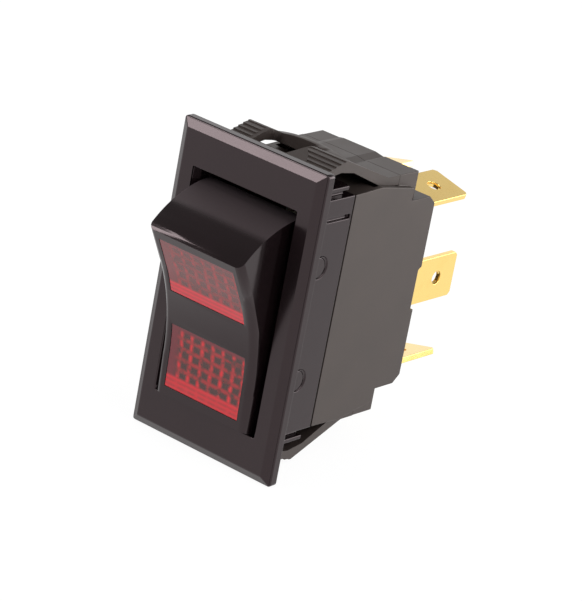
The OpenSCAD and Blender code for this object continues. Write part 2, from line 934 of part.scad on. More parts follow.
module centre_tab() {
    translate([centre_x, 0, 0])
        rotate([0, 90, 0])
            tab_blade(centre_foot_y, centre_tip_y);
    // The foot reaches in behind the contact bar and carries its ridge.
    box(pole_x - bar_w / 2 - 0.2, centre_x, centre_foot_y, centre_foot_y + tab_t,
        -centre_foot_z, centre_foot_z);
    intersection() {
        translate([0, ridge_y, 0])
            union() {
                rod_x(ridge_r, pole_x - bar_w / 2 - 0.2, centre_x + tab_t / 2);
                box(pole_x - bar_w / 2 - 0.2, centre_x + tab_t / 2, 0, ridge_rise + tab_t / 2,
                    -ridge_r, ridge_r);
            }
        box(0, through, 0, centre_foot_y + tab_t / 2, -ridge_r, ridge_r);
    }
}

module centre_tab_near() {
    color(gold)
        centre_tab();
}

module centre_tab_far() {
    color(gold)
        mirror([1, 0, 0])
            centre_tab();
}

// Puts its children, drawn flat round the origin, at the near upper tab's place and tilt.
module outer_frame() {
    translate([outer_x, 0, outer_tab_z])
        rotate([0, tab_tilt, 0])
            children();
}

// Where the fixed contact lies on the tab's foot, measured in the tab's own tilted frame.
foot_dx = pole_x - outer_x;
foot_dz = contact_z - outer_tab_z;
foot_x = foot_dx * cos(tab_tilt) - foot_dz * sin(tab_tilt);

module outer_tab() {
    outer_frame() {
        tab_blade(foot_y, outer_tip_y);
        box(foot_x - foot_w / 2, min(foot_x + foot_w / 2, tab_w / 2),
            foot_y, foot_y + tab_t, -foot_reach, tab_t / 2);
    }
}

module upper_tab_near() {
    color(gold)
        outer_tab();
}

module upper_tab_far() {
    color(gold)
        mirror([1, 0, 0])
            outer_tab();
}

module lower_tab_near() {
    color(gold)
        mirror([0, 0, 1])
            outer_tab();
}

module lower_tab_far() {
    color(gold)
        rotate([0, 180, 0])
            outer_tab();
}

// ---- Contacts ----

// A domed rivet head on the foot of an outer tab.
module fixed_contact() {
    translate([pole_x, 0, contact_z])
        intersection() {
            rod_y(contact_r - 0.05, dome_y - 1, foot_y);
            translate([0, dome_y + dome_r, 0])
                sphere(dome_r, $fn = 96);
        }
}

module upper_contact_near() {
    color(silver)
        fixed_contact();
}

module upper_contact_far() {
    color(silver)
        mirror([1, 0, 0])
            fixed_contact();
}

module lower_contact_near() {
    color(silver)
        mirror([0, 0, 1])
            fixed_contact();
}

module lower_contact_far() {
    color(silver)
        rotate([0, 180, 0])
            fixed_contact();
}

// Puts its children, drawn round the contact bar's pivot, where they are at rest.
module bar_frame() {
    translate([pole_x, bar_pivot_y, 0])
        rotate([-bar_tilt, 0, 0])
            children();
}

// A gull-wing strip: a round trough for the plunger between two straight arms.
module contact_bar() {
    bar_frame()
        along_x(-bar_w / 2, bar_w / 2) {
            translate([arm_front, trough_z - 0.02])
                square([bar_t, bar_z - trough_z + 0.02]);
            translate([arm_front, -bar_z])
                square([bar_t, bar_z - trough_z + 0.02]);
            intersection() {
                translate([trough_centre, 0])
                    difference() {
                        circle(trough_r + bar_t);
                        circle(trough_r);
                    }
                translate([arm_front, -trough_z])
                    square([through, 2 * trough_z]);
            }
        }
}

module contact_bar_near() {
    color(copper)
        contact_bar();
}

module contact_bar_far() {
    color(copper)
        mirror([1, 0, 0])
            contact_bar();
}

module bar_buttons() {
    bar_frame()
        for (z = [-contact_z, contact_z])
            translate([0, 0, z])
                rod_y(contact_r, arm_rear, button_face);
}

module bar_buttons_near() {
    color(silver)
        bar_buttons();
}

module bar_buttons_far() {
    color(silver)
        mirror([1, 0, 0])
            bar_buttons();
}

// ---- Plungers ----

module plunger() {
    rocker_frame()
        translate([pole_x, 0, 0])
            round_tip_rod(plunger_r, plunger_start, tip_reach);
}

module plunger_near() {
    color(silver)
        plunger();
}

module plunger_far() {
    color(silver)
        mirror([1, 0, 0])
            plunger();
}

// A round-wire compression spring along +Z, its centre line at radius r.
module coil_spring(r, wire, length, turns) {
    steps = 16; // rings in a turn
    sides = 8; // points in a ring
    rings = turns * steps + 1;
    rise = (length - wire) / (rings - 1);
    points = [
        for (i = [0:rings - 1], k = [0:sides - 1])
            let (a = 360 * i / steps, b = 360 * k / sides, reach = r + wire / 2 * cos(b))
                [reach * cos(a), reach * sin(a), wire / 2 + i * rise + wire / 2 * sin(b)]
    ];
    walls = [
        for (i = [0:rings - 2], k = [0:sides - 1])
            let (k2 = (k + 1) % sides)
                [i * sides + k, i * sides + k2, (i + 1) * sides + k2, (i + 1) * sides + k]
    ];
    first_end = [for (k = [sides - 1:-1:0]) k];
    last_end = [for (k = [0:sides - 1]) (rings - 1) * sides + k];
    polyhedron(points, concat(walls, [first_end, last_end]), convexity = 10);
}

module plunger_spring() {
    length = plunger_start - spring_start - 2 * end_play;
    rocker_frame()
        translate([pole_x, spring_start + end_play, 0])
            rotate([-90, 0, 0])
                coil_spring(spring_r, spring_wire, length, spring_turns);
}

module plunger_spring_near() {
    color(silver)
        plunger_spring();
}

module plunger_spring_far() {
    color(silver)
        mirror([1, 0, 0])
            plunger_spring();
}

// ---- Lamps ----

// A bridge across the middle of the base with a socket for each lamp.
module lamp_holder() {
    color("ivory")
        difference() {
            union() {
                box(-holder_x, holder_x, holder_y, holder_y + holder_t, -holder_z, holder_z);
                both_ends() {
                    translate([0, 0, lamp_z])
                        rod_y(lamp_r + socket_wall, holder_y - socket_l, holder_y + 0.1);
                    box(-holder_leg_x, holder_leg_x, holder_y, well_y, holder_leg_z, holder_z);
                }
            }
            both_ends()
                translate([0, 0, lamp_z]) {
                    rod_y(lamp_r + 0.05, 0, holder_y);
                    for (x = [-lead_x, lead_x])
                        translate([x, 0, 0])
                            rod_y(lead_r + lead_hole_gap, 0, through);
                }
        }
}

// A sealed bulb with a domed tip.
module lamp() {
    translate([0, 0, lamp_z])
        mirror([0, 1, 0])
            round_tip_rod(lamp_r, -holder_y, -lamp_tip_y - lamp_r);
}

module upper_lamp() {
    color(clear_glass)
        lamp();
}

module lower_lamp() {
    color(clear_glass)
        mirror([0, 0, 1])
            lamp();
}

// A straight piece of wire between two points that lie in one plane of constant Y.
module cross_wire(a, b) {
    run = b - a;
    translate(a)
        rotate([0, atan2(run[0], run[2]), 0])
            cylinder(r = lead_r, h = norm(run));
}

// Two leads, each from the bulb back through the holder and across to a tab's foot.
module leads() {
    both_sides() {
        bend = [lead_x, lead_run_y, lamp_z];
        target = [pole_x - foot_w / 2 + 1.2, lead_run_y, lead_end_z];
        translate([lead_x, 0, lamp_z])
            rod_y(lead_r, holder_y, lead_run_y);
        translate(bend)
            sphere(lead_r);
        cross_wire(bend, target);
        translate(target)
            sphere(lead_r);
    }
}

module upper_leads() {
    color(silver)
        leads();
}

module lower_leads() {
    color(silver)
        mirror([0, 0, 1])
            leads();
}

bezel_frame();
base_housing();
upper_wing();
lower_wing();
rocker();
upper_lens();
lower_lens();
centre_tab_near();
centre_tab_far();
upper_tab_near();
upper_tab_far();
lower_tab_near();
lower_tab_far();
upper_contact_near();
upper_contact_far();
lower_contact_near();
lower_contact_far();
contact_bar_near();
contact_bar_far();
bar_buttons_near();
bar_buttons_far();
plunger_near();
plunger_far();
plunger_spring_near();
plunger_spring_far();
lamp_holder();
upper_lamp();
lower_lamp();
upper_leads();
lower_leads();
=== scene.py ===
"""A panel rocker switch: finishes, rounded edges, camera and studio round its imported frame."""

import logging
import math
from dataclasses import dataclass
from enum import Enum

import bpy
from mathutils import Matrix, Vector


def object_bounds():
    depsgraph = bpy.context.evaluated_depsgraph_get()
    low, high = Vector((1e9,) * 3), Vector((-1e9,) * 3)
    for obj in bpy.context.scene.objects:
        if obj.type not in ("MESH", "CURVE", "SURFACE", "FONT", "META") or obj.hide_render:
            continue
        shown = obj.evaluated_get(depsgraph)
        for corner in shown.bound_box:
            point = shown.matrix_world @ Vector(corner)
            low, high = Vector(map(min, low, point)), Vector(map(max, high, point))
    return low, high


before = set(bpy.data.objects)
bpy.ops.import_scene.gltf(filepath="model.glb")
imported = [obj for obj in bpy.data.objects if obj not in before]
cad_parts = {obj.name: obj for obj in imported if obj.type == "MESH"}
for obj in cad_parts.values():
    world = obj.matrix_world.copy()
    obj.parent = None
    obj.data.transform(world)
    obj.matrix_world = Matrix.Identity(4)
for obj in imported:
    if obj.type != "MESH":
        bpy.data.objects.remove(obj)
CAD_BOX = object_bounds()

LOG = logging.getLogger("rocker_switch")
MM = 0.001


class Side(Enum):
    """The two sides of the switch, by the sign of X."""

    NEAR = 1
    FAR = -1


class End(Enum):
    """The two ends of the switch, by the sign of Z."""

    UPPER = 1
    LOWER = -1


def linear(code: str) -> tuple[float, float, float, float]:
    """Turns an sRGB hex colour into linear RGBA.

    Args:
        code: The colour as six hex digits, with or without a leading hash.

    Returns:
        The colour's linear red, green and blue, and an alpha of 1.
    """
    digits = code.lstrip("#")
    parts = [int(digits[i : i + 2], 16) / 255 for i in (0, 2, 4)]
    values = [p / 12.92 if p <= 0.04045 else ((p + 0.055) / 1.055) ** 2.4 for p in parts]
    return (*values, 1.0)


def add_node(
    tree: bpy.types.NodeTree, kind: str, sockets: dict | None = None, **settings: object
) -> bpy.types.Node:
    """Adds a node with its settings, socket values and links.

    Args:
        tree: The node tree that gets the node.
        kind: The node's Blender type name.
        sockets: Values by socket name or number. An output socket is linked instead.
        settings: Properties of the node itself.

    Returns:
        The new node.
    """
    node = tree.nodes.new(kind)
    for name, value in settings.items():
        setattr(node, name, value)
    for key, value in (sockets or {}).items():
        if isinstance(value, bpy.types.NodeSocket):
            tree.links.new(value, node.inputs[key])
        else:
            node.inputs[key].default_value = value
    return node


def empty_material(name: str) -> tuple[bpy.types.Material, bpy.types.NodeTree]:
    """Makes a material with no nodes.

    Args:
        name: The material's name.

    Returns:
        The material and its node tree.
    """
    material = bpy.data.materials.new(name)
    material.use_nodes = True
    material.node_tree.nodes.clear()
    return material, material.node_tree


# The rocker's pivot and how far it is tipped at rest.
HALF_THROW_DEG = 16.5
PIVOT_Y_MM = 4.0


def rocker_place(
    tree: bpy.types.NodeTree, place: bpy.types.NodeSocket
) -> bpy.types.NodeSocket:
    """Turns object coordinates into the rocker's own, level round its pivot.

    Args:
        tree: The material's node tree.
        place: Object coordinates.

    Returns:
        The place in the rocker's own frame, in metres.
    """
    return add_node(
        tree,
        "ShaderNodeMapping",
        {
            "Vector": place,
            "Location": (0.0, PIVOT_Y_MM * MM, 0.0),
            "Rotation": (math.radians(HALF_THROW_DEG), 0.0, 0.0),
        },
        vector_type="TEXTURE",
    ).outputs["Vector"]


@dataclass(frozen=True)
class MouldedPlastic:
    """A black injection-moulded plastic, between a polished and a spark-eroded mould."""

    name: str
    colour: str
    pale: str
    roughness: float
    ripple_mm: float
    ripple_height_mm: float
    grain_mm: float
    grain_height_mm: float
    sheen_spread: float = 0.03
    cast: str = "#ffffff"
    # Rougher, paler ends: the roughness is the mould's, the paler colour is painted sheen.
    matt_roughness: float = 0.0
    painted_matt_sheen: str = "#352e30"
    matt_from_mm: float = -7.2
    matt_full_mm: float = -5.6
    end_from_mm: float = 11.5
    end_full_mm: float = 12.5
    sideways: float = 0.5
    lengthways: float = 0.2

    def matt_ends(
        self, tree: bpy.types.NodeTree, coordinates: bpy.types.Node
    ) -> bpy.types.NodeSocket:
        """Finds the rocker's ends, where the mould was left unpolished and a paler painted sheen
        goes.

        Args:
            tree: The material's node tree.
            coordinates: The texture coordinate node.

        Returns:
            1 on the unpolished ends and 0 elsewhere.
        """
        own = rocker_place(tree, coordinates.outputs["Object"])
        axes = add_node(tree, "ShaderNodeSeparateXYZ", {"Vector": own}).outputs
        depth = add_node(
            tree,
            "ShaderNodeMapRange",
            {
                "Value": axes["Y"],
                "From Min": self.matt_from_mm * MM,
                "From Max": self.matt_full_mm * MM,
            },
            interpolation_type="SMOOTHSTEP",
        ).outputs["Result"]
        reach = add_node(
            tree, "ShaderNodeMath", {0: axes["Z"]}, operation="ABSOLUTE"
        ).outputs["Value"]
        end = add_node(
            tree,
            "ShaderNodeMapRange",
            {
                "Value": reach,
                "From Min": self.end_from_mm * MM,
                "From Max": self.end_full_mm * MM,
            },
        ).outputs["Result"]
        share = add_node(
            tree, "ShaderNodeMath", {0: depth, 1: end}, operation="MULTIPLY"
        ).outputs["Value"]
        facing = add_node(
            tree, "ShaderNodeSeparateXYZ", {"Vector": coordinates.outputs["Normal"]}
        ).outputs["X"]
        facing = add_node(
            tree, "ShaderNodeMath", {0: facing}, operation="ABSOLUTE"
        ).outputs["Value"]
        flat = add_node(
            tree,
            "ShaderNodeMapRange",
            {"Value": facing, "From Min": self.sideways, "From Max": self.lengthways},
        ).outputs["Result"]
        return add_node(
            tree, "ShaderNodeMath", {0: share, 1: flat}, operation="MULTIPLY"
        ).outputs["Value"]

    def material(self) -> bpy.types.Material:
        """Builds the plastic with its flow ripple, its grain, its uneven sheen and, on matt ends,
        a paler painted sheen.

        Returns:
            The plastic's material.
        """
        material, tree = empty_material(self.name)
        coordinates = add_node(tree, "ShaderNodeTexCoord")
        place = coordinates.outputs["Object"]
        flow = add_node(
            tree,
            "ShaderNodeTexNoise",
            {"Vector": place, "Scale": 1 / (self.ripple_mm * MM), "Detail": 2.0},
        ).outputs["Fac"]
        grain = add_node(
            tree,
            "ShaderNodeTexNoise",
            {"Vector": place, "Scale": 1 / (self.grain_mm * MM), "Detail": 3.0},
        ).outputs["Fac"]
        tint = add_node(
            tree,
            "ShaderNodeMix",
            {"Factor": flow, 6: linear(self.colour), 7: linear(self.pale)},
            data_type="RGBA",
        ).outputs[2]
        sheen = add_node(
            tree,
            "ShaderNodeMapRange",
            {
                "Value": flow,
                "From Min": 0.3,
                "From Max": 0.7,
                "To Min": self.roughness - self.sheen_spread,
                "To Max": self.roughness + self.sheen_spread,
            },
        ).outputs["Result"]
        if self.matt_roughness:
            matt = self.matt_ends(tree, coordinates)
            sheen = add_node(
                tree,
                "ShaderNodeMix",
                {"Factor": matt, "A": sheen, "B": self.matt_roughness},
                data_type="FLOAT",
            ).outputs["Result"]
            # The matt ends also get a paler colour: painted sheen.
            tint = add_node(
                tree,
                "ShaderNodeMix",
                {"Factor": matt, 6: tint, 7: linear(self.painted_matt_sheen)},
                data_type="RGBA",
            ).outputs[2]
        ripple = add_node(
            tree,
            "ShaderNodeBump",
            {"Height": flow, "Distance": self.ripple_height_mm * MM, "Strength": 1.0},
        ).outputs["Normal"]
        normal = add_node(
            tree,
            "ShaderNodeBump",
            {
                "Height": grain,
                "Distance": self.grain_height_mm * MM,
                "Strength": 1.0,
                "Normal": ripple,
            },
        ).outputs["Normal"]
        surface = add_node(
            tree,
            "ShaderNodeBsdfPrincipled",
            {
                "Base Color": tint,
                "Roughness": sheen,
                "Normal": normal,
                "IOR": 1.5,
                "Specular Tint": linear(self.cast),
            },
        )
        add_node(tree, "ShaderNodeOutputMaterial", {"Surface": surface.outputs["BSDF"]})
        return material


@dataclass(frozen=True)
class StripMetal:
    """A rolled strip metal with fine lines along its rolling direction, which is Y."""

    name: str
    colour: str
    dull: str
    roughness: float
    line_mm: float = 0.05
    line_length: float = 14.0
    line_depth_mm: float = 0.0004
    tarnish_per_m: float = 260.0
    tarnish_share: float = 0.7
    sheen_spread: float = 0.04

    def material(self) -> bpy.types.Material:
        """Builds the metal with its rolling lines and faint tarnish.

        Returns:
            The metal's material.
        """
        material, tree = empty_material(self.name)
        place = add_node(tree, "ShaderNodeTexCoord").outputs["Object"]
        stretched = add_node(
            tree,
            "ShaderNodeMapping",
            {"Vector": place, "Scale": (1.0, 1 / self.line_length, 1.0)},
        ).outputs["Vector"]
        lines = add_node(
            tree,
            "ShaderNodeTexNoise",
            {"Vector": stretched, "Scale": 1 / (self.line_mm * MM), "Detail": 2.0},
        ).outputs["Fac"]
        cloud = add_node(
            tree,
            "ShaderNodeTexNoise",
            {"Vector": place, "Scale": self.tarnish_per_m, "Detail": 3.0},
        ).outputs["Fac"]
        tarnish = add_node(
            tree,
            "ShaderNodeMapRange",
            {"Value": cloud, "From Min": 0.5, "From Max": 0.85, "To Max": self.tarnish_share},
        ).outputs["Result"]
        tint = add_node(
            tree,
            "ShaderNodeMix",
            {"Factor": tarnish, 6: linear(self.colour), 7: linear(self.dull)},
            data_type="RGBA",
        ).outputs[2]
        sheen = add_node(
            tree,
            "ShaderNodeMapRange",
            {
                "Value": lines,
                "From Min": 0.3,
                "From Max": 0.7,
                "To Min": self.roughness - self.sheen_spread,
                "To Max": self.roughness + self.sheen_spread,
            },
        ).outputs["Result"]
        normal = add_node(
            tree,
            "ShaderNodeBump",
            {"Height": lines, "Distance": self.line_depth_mm * MM, "Strength": 1.0},
        ).outputs["Normal"]
        surface = add_node(
            tree,
            "ShaderNodeBsdfPrincipled",
            {"Base Color": tint, "Roughness": sheen, "Normal": normal, "Metallic": 1.0},
        )
        add_node(tree, "ShaderNodeOutputMaterial", {"Surface": surface.outputs["BSDF"]})
        return material


@dataclass(frozen=True)
class ClearPlastic:
    """A clear tinted plastic or glass."""

    name: str
    colour: str
    roughness: float
    ior: float
    clearness: float
    cloud_per_m: float = 400.0
    cloud_share: float = 0.04

    def material(self) -> bpy.types.Material:
        """Builds the clear plastic, faintly clouded by its moulding.

        Returns:
            The clear material.
        """
        material, tree = empty_material(self.name)
        place = add_node(tree, "ShaderNodeTexCoord").outputs["Object"]
        cloud = add_node(
            tree,
            "ShaderNodeTexNoise",
            {"Vector": place, "Scale": self.cloud_per_m, "Detail": 2.0},
        ).outputs["Fac"]
        sheen = add_node(
            tree,
            "ShaderNodeMapRange",
            {
                "Value": cloud,
                "To Min": self.roughness,
                "To Max": self.roughness + self.cloud_share,
            },
        ).outputs["Result"]
        surface = add_node(
            tree,
            "ShaderNodeBsdfPrincipled",
            {
                "Base Color": linear(self.colour),
                "Roughness": sheen,
                "IOR": self.ior,
                "Transmission Weight": self.clearness,
            },
        )
        add_node(tree, "ShaderNodeOutputMaterial", {"Surface": surface.outputs["BSDF"]})
        return material


@dataclass(frozen=True)
class PrismaticLens:
    """A clear red lens over a grid of prisms; the light they send back as bright lines is painted
    into its colour.
    """

    name: str
    # Colours of the painted glints on the prism edges, the plain dull border, the painted shade
    # on the prism faces and the painted glow along the foot.
    painted_glint: str
    dull: str
    dark: str
    painted_foot_glow: str
    column_mm: float = 12.5 / 7
    row_mm: float = 8.7 / 6
    start_mm: float = 2.6
    repeat_mm: float = 13.9
    plain_from_mm: float = -4.2
    plain_full_mm: float = -5.6
    top_from_mm: float = 7.9
    top_full_mm: float = 8.5
    foot_mm: float = 1.5
    foot_end_mm: float = 2.0
    groove_per_m: float = 9500.0
    groove_depth: float = 0.38
    cross_line: float = 0.5
    dash_gap: float = 0.4
    cloud_per_m: float = 900.0
    roughness: float = 0.05
    ior: float = 1.58
    clearness: float = 0.2

    def share(
        self,
        tree: bpy.types.NodeTree,
        value: bpy.types.NodeSocket,
        low: float,
        high: float,
    ) -> bpy.types.NodeSocket:
        """Maps a value to 0 at "low" and beyond, and to 1 at "high" and beyond.

        Args:
            tree: The material's node tree.
            value: The value to map.
            low: Where the share is 0.
            high: Where the share is 1.

        Returns:
            The share.
        """
        return add_node(
            tree,
            "ShaderNodeMapRange",
            {"Value": value, "From Min": low, "From Max": high},
            interpolation_type="SMOOTHSTEP",
        ).outputs["Result"]

    def ridge(
        self, tree: bpy.types.NodeTree, value: bpy.types.NodeSocket, pitch_mm: float, shift: float
    ) -> bpy.types.NodeSocket:
        """Gives the distance from the middle of a prism, 0 there and 0.5 at its edges.

        Args:
            tree: The material's node tree.
            value: The place across the prisms, in metres.
            pitch_mm: Distance from prism to prism.
            shift: Where the first prism begins, in prisms.

        Returns:
            The distance in prisms.
        """
        turns = add_node(
            tree,
            "ShaderNodeMath",
            {0: value, 1: 1 / (pitch_mm * MM), 2: shift},
            operation="MULTIPLY_ADD",
        ).outputs["Value"]
        part = add_node(tree, "ShaderNodeMath", {0: turns}, operation="FRACT").outputs["Value"]
        off = add_node(
            tree, "ShaderNodeMath", {0: part, 1: 0.5}, operation="SUBTRACT"
        ).outputs["Value"]
        return add_node(tree, "ShaderNodeMath", {0: off}, operation="ABSOLUTE").outputs["Value"]

    def material(self) -> bpy.types.Material:
        """Builds the lens with painted glints on its prism edges, painted shade on its prism
        faces and a painted glow along its foot.

        Returns:
            The lens's material.
        """
        material, tree = empty_material(self.name)
        place = add_node(tree, "ShaderNodeTexCoord").outputs["Object"]
        own = rocker_place(tree, place)
        axes = add_node(tree, "ShaderNodeSeparateXYZ", {"Vector": own}).outputs
        above = add_node(
            tree,
            "ShaderNodeMath",
            {0: axes["Z"], 1: self.start_mm * MM},
            operation="SUBTRACT",
        ).outputs["Value"]
        height = add_node(
            tree,
            "ShaderNodeMath",
            {0: above, 1: self.repeat_mm * MM, 2: 0.0},
            operation="WRAP",
        ).outputs["Value"]
        cloud = add_node(
            tree,
            "ShaderNodeTexNoise",
            {"Vector": place, "Scale": self.cloud_per_m, "Detail": 2.0},
        ).outputs["Fac"]
        across = self.ridge(tree, axes["X"], self.column_mm, 0.5)
        along = self.ridge(tree, height, self.row_mm, 0.0)
        dash = add_node(
            tree,
            "ShaderNodeMapRange",
            {
                "Value": along,
                "From Min": 0.15,
                "From Max": 0.45,
                "To Min": 1.0,
                "To Max": self.dash_gap,
            },
        ).outputs["Result"]
        column = add_node(
            tree,
            "ShaderNodeMath",
            {0: self.share(tree, across, 0.2, 0.5), 1: dash},
            operation="MULTIPLY",
        ).outputs["Value"]
        row = add_node(
            tree,
            "ShaderNodeMath",
            {0: self.share(tree, along, 0.16, 0.5), 1: self.cross_line},
            operation="MULTIPLY",
        ).outputs["Value"]
        # Painted glints along the prism edges, uneven at random.
        lines = add_node(
            tree, "ShaderNodeMath", {0: column, 1: row}, operation="MAXIMUM"
        ).outputs["Value"]
        uneven = self.share(tree, cloud, 0.25, 0.6)
        lines = add_node(
            tree, "ShaderNodeMath", {0: lines, 1: uneven}, operation="MULTIPLY"
        ).outputs["Value"]
        # Painted glints over painted shade on the prism faces.
        grid = add_node(
            tree,
            "ShaderNodeMix",
            {"Factor": lines, 6: linear(self.dark), 7: linear(self.painted_glint)},
            data_type="RGBA",
        ).outputs[2]
        # Outside the grid the lens gets its plain dull red, with no painted glints.
        inner_x = self.share(
            tree, axes["X"], self.plain_full_mm * MM, self.plain_from_mm * MM
        )
        inner_z = self.share(tree, height, self.top_full_mm * MM, self.top_from_mm * MM)
        inner = add_node(
            tree, "ShaderNodeMath", {0: inner_x, 1: inner_z}, operation="MULTIPLY"
        ).outputs["Value"]
        framed = add_node(
            tree,
            "ShaderNodeMix",
            {"Factor": inner, 6: linear(self.dull), 7: grid},
            data_type="RGBA",
        ).outputs[2]
        # A painted glow along the lens's foot, where light leaves it, broken by its moulded
        # grooves.
        foot = self.share(tree, height, self.foot_end_mm * MM, self.foot_mm * MM)
        streak = add_node(
            tree, "ShaderNodeMath", {0: height, 1: self.groove_per_m}, operation="MULTIPLY"
        ).outputs["Value"]
        streak = add_node(
            tree, "ShaderNodeMath", {0: streak}, operation="SINE"
        ).outputs["Value"]
        streak = add_node(
            tree,
            "ShaderNodeMapRange",
            {
                "Value": streak,
                "From Min": -1.0,
                "From Max": 1.0,
                "To Min": 1 - self.groove_depth,
                "To Max": 1.0,
            },
        ).outputs["Result"]
        foot = add_node(
            tree, "ShaderNodeMath", {0: foot, 1: streak}, operation="MULTIPLY"
        ).outputs["Value"]
        tint = add_node(
            tree,
            "ShaderNodeMix",
            {"Factor": foot, 6: framed, 7: linear(self.painted_foot_glow)},
            data_type="RGBA",
        ).outputs[2]
        surface = add_node(
            tree,
            "ShaderNodeBsdfPrincipled",
            {
                "Base Color": tint,
                "Roughness": self.roughness,
                "IOR": self.ior,
                "Transmission Weight": self.clearness,
            },
        )
        add_node(tree, "ShaderNodeOutputMaterial", {"Surface": surface.outputs["BSDF"]})
        return material


# Nylon 66 from a polished mould: near black, with a warm cast and a clear, dark shine; its
# unpolished ends are rougher and carry a paler painted sheen.
POLISHED_BLACK = MouldedPlastic(
    name="polished_black_nylon",
    colour="#0c0809",
    pale="#140c0e",
    roughness=0.1,
    ripple_mm=6.0,
    ripple_height_mm=0.01,
    grain_mm=0.25,
    grain_height_mm=0.0004,
    cast="#ffe6ea",
    matt_roughness=0.6,
)
# The same nylon from a mould that was only stoned: its shine is softer.
SATIN_BLACK = MouldedPlastic(
    name="satin_black_nylon",
    colour="#0f090b",
    pale="#170f11",
    roughness=0.2,
    ripple_mm=7.0,
    ripple_height_mm=0.02,
    grain_mm=0.3,
    grain_height_mm=0.001,
    cast="#ffe6ea",
)
# Nylon 66 from a spark-eroded mould: a paler, warm grey sheen over the same black.
GRAINED_BLACK = MouldedPlastic(
    name="spark_eroded_black_nylon",
    colour="#2f2826",
    pale="#3d3532",
    roughness=0.42,
    ripple_mm=5.0,
    ripple_height_mm=0.01,
    grain_mm=0.12,
    grain_height_mm=0.004,
    cast="#fff4ee",
)
# Rolled cartridge brass: a warm yellow with fine lines along the strip and little tarnish.
TAB_BRASS = StripMetal("rolled_brass", "#ffdc86", "#f6cc70", 0.18)
# Rolled copper: a pinkish brown with a softer shine.
CONTACT_COPPER = StripMetal("rolled_copper", "#c9825a", "#a96a48", 0.3)
# Turned silver alloy: pale, with faint lines.
SILVER_ALLOY = StripMetal("turned_silver_alloy", "#dcd9d2", "#bdb8ae", 0.3)
# Drawn spring steel: a cool grey with a clear shine.
SPRING_STEEL = StripMetal("drawn_spring_steel", "#b9b7b2", "#9a978f", 0.25)
# Tinned copper wire: a soft, pale grey.
TINNED_WIRE = StripMetal("tinned_copper_wire", "#d2cfc7", "#b3afa6", 0.32)
# Polished red polycarbonate: the flash of its lower prisms is painted as bright lines, and the
# upper lens is a copy whose weaker painted glints and lighter painted shade stand for prisms that
# see the pale table.
LOWER_RED = PrismaticLens(
    "clear_red_polycarbonate", painted_glint="#e60a1e", dull="#741624", dark="#46201c", painted_foot_glow="#de0e20"
)
UPPER_RED = PrismaticLens(
    "clear_red_polycarbonate_up", painted_glint="#b0121e", dull="#7e262c", dark="#682626", painted_foot_glow="#e6102a"
)
# Blown lamp glass: clear and smooth.
BULB_GLASS = ClearPlastic("bulb_glass", "#f2f4f0", 0.02, 1.5, 0.95)
# Natural nylon 66: a creamy white with a dull shine.
WHITE_NYLON = MouldedPlastic(
    name="natural_nylon",
    colour="#d9d2bf",
    pale="#e4dfd0",
    roughness=0.4,
    ripple_mm=4.0,
    ripple_height_mm=0.01,
    grain_mm=0.2,
    grain_height_mm=0.002,
)


FINE_WELD_MM = 0.002
COARSE_WELD_MM = 0.01


def soften(
    node: str,
    radius_mm: float,
    segments: int = 3,
    angle_deg: float = 24.0,
    flat_deg: float = 0.4,
    clamp: bool = True,
) -> None:
    """Rounds the crisp edges of a CAD node as a mould or a press tool leaves them.

    Args:
        node: The CAD node's name.
        radius_mm: Width of the rounding.
        segments: Facets across the rounding.
        angle_deg: Edges that turn by more than this are rounded.
        flat_deg: Facets that turn by less than this are joined first.
        clamp: Whether the shortest edge limits the rounding.
    """
    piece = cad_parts[node]
    weld = piece.modifiers.new("merge", "WELD")
    weld.merge_threshold = (FINE_WELD_MM if clamp else COARSE_WELD_MM) * MM
    flat = piece.modifiers.new("flats", "DECIMATE")
    flat.decimate_type = "DISSOLVE"
    flat.angle_limit = math.radians(flat_deg)
    bevel = piece.modifiers.new("rounding", "BEVEL")
    bevel.width = radius_mm * MM
    bevel.segments = segments
    bevel.limit_method = "ANGLE"
    bevel.angle_limit = math.radians(angle_deg)
    bevel.harden_normals = True
    bevel.miter_outer = "MITER_ARC"
    bevel.use_clamp_overlap = clamp


def dress(nodes: list[str], material: bpy.types.Material) -> None:
    """Puts one material on the CAD nodes given.

    Args:
        nodes: Names of CAD nodes.
        material: The finish they get.
    """
    for node in nodes:
        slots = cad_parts[node].material_slots
        for slot in slots:
            slot.material = material
        LOG.info("%s: %s", node, material.name)


@dataclass
class Housing:
    """The flange with its collar, the base and the snap wings."""

    flange_rounding: float = 0.14
    base_rounding: float = 0.1
    wing_rounding: float = 0.08

    def build(self) -> None:
        """Rounds the mouldings' edges and gives them their finish."""
        soften("bezel_frame", self.flange_rounding, clamp=False)
        soften("base_housing", self.base_rounding, clamp=False)
        for node in ("upper_wing", "lower_wing"):
            soften(node, self.wing_rounding, segments=2)
        dress(["bezel_frame"], SATIN_BLACK.material())
        dress(["base_housing", "upper_wing", "lower_wing"], GRAINED_BLACK.material())


@dataclass
class Rocker:
    """The rocker and its two lenses."""

    rounding: float = 0.1
    flat_deg: float = 1.2

    def build(self) -> None:
        """Rounds the rocker's edges and finishes it and its lenses."""
        soften("rocker", self.rounding, flat_deg=self.flat_deg)
        dress(["rocker"], POLISHED_BLACK.material())
        dress(["upper_lens"], UPPER_RED.material())
        dress(["lower_lens"], LOWER_RED.material())


@dataclass
class Terminals:
    """The six quick-connect tabs."""

    rounding: float = 0.09
    tabs: tuple[str, ...] = (
        "centre_tab_near",
        "centre_tab_far",
        "upper_tab_near",
        "upper_tab_far",
        "lower_tab_near",
        "lower_tab_far",
    )

    def build(self) -> None:
        """Rounds the tabs' stamped edges and gives them their brass."""
        for tab in self.tabs:
            soften(tab, self.rounding, clamp=False)
        dress(list(self.tabs), TAB_BRASS.material())


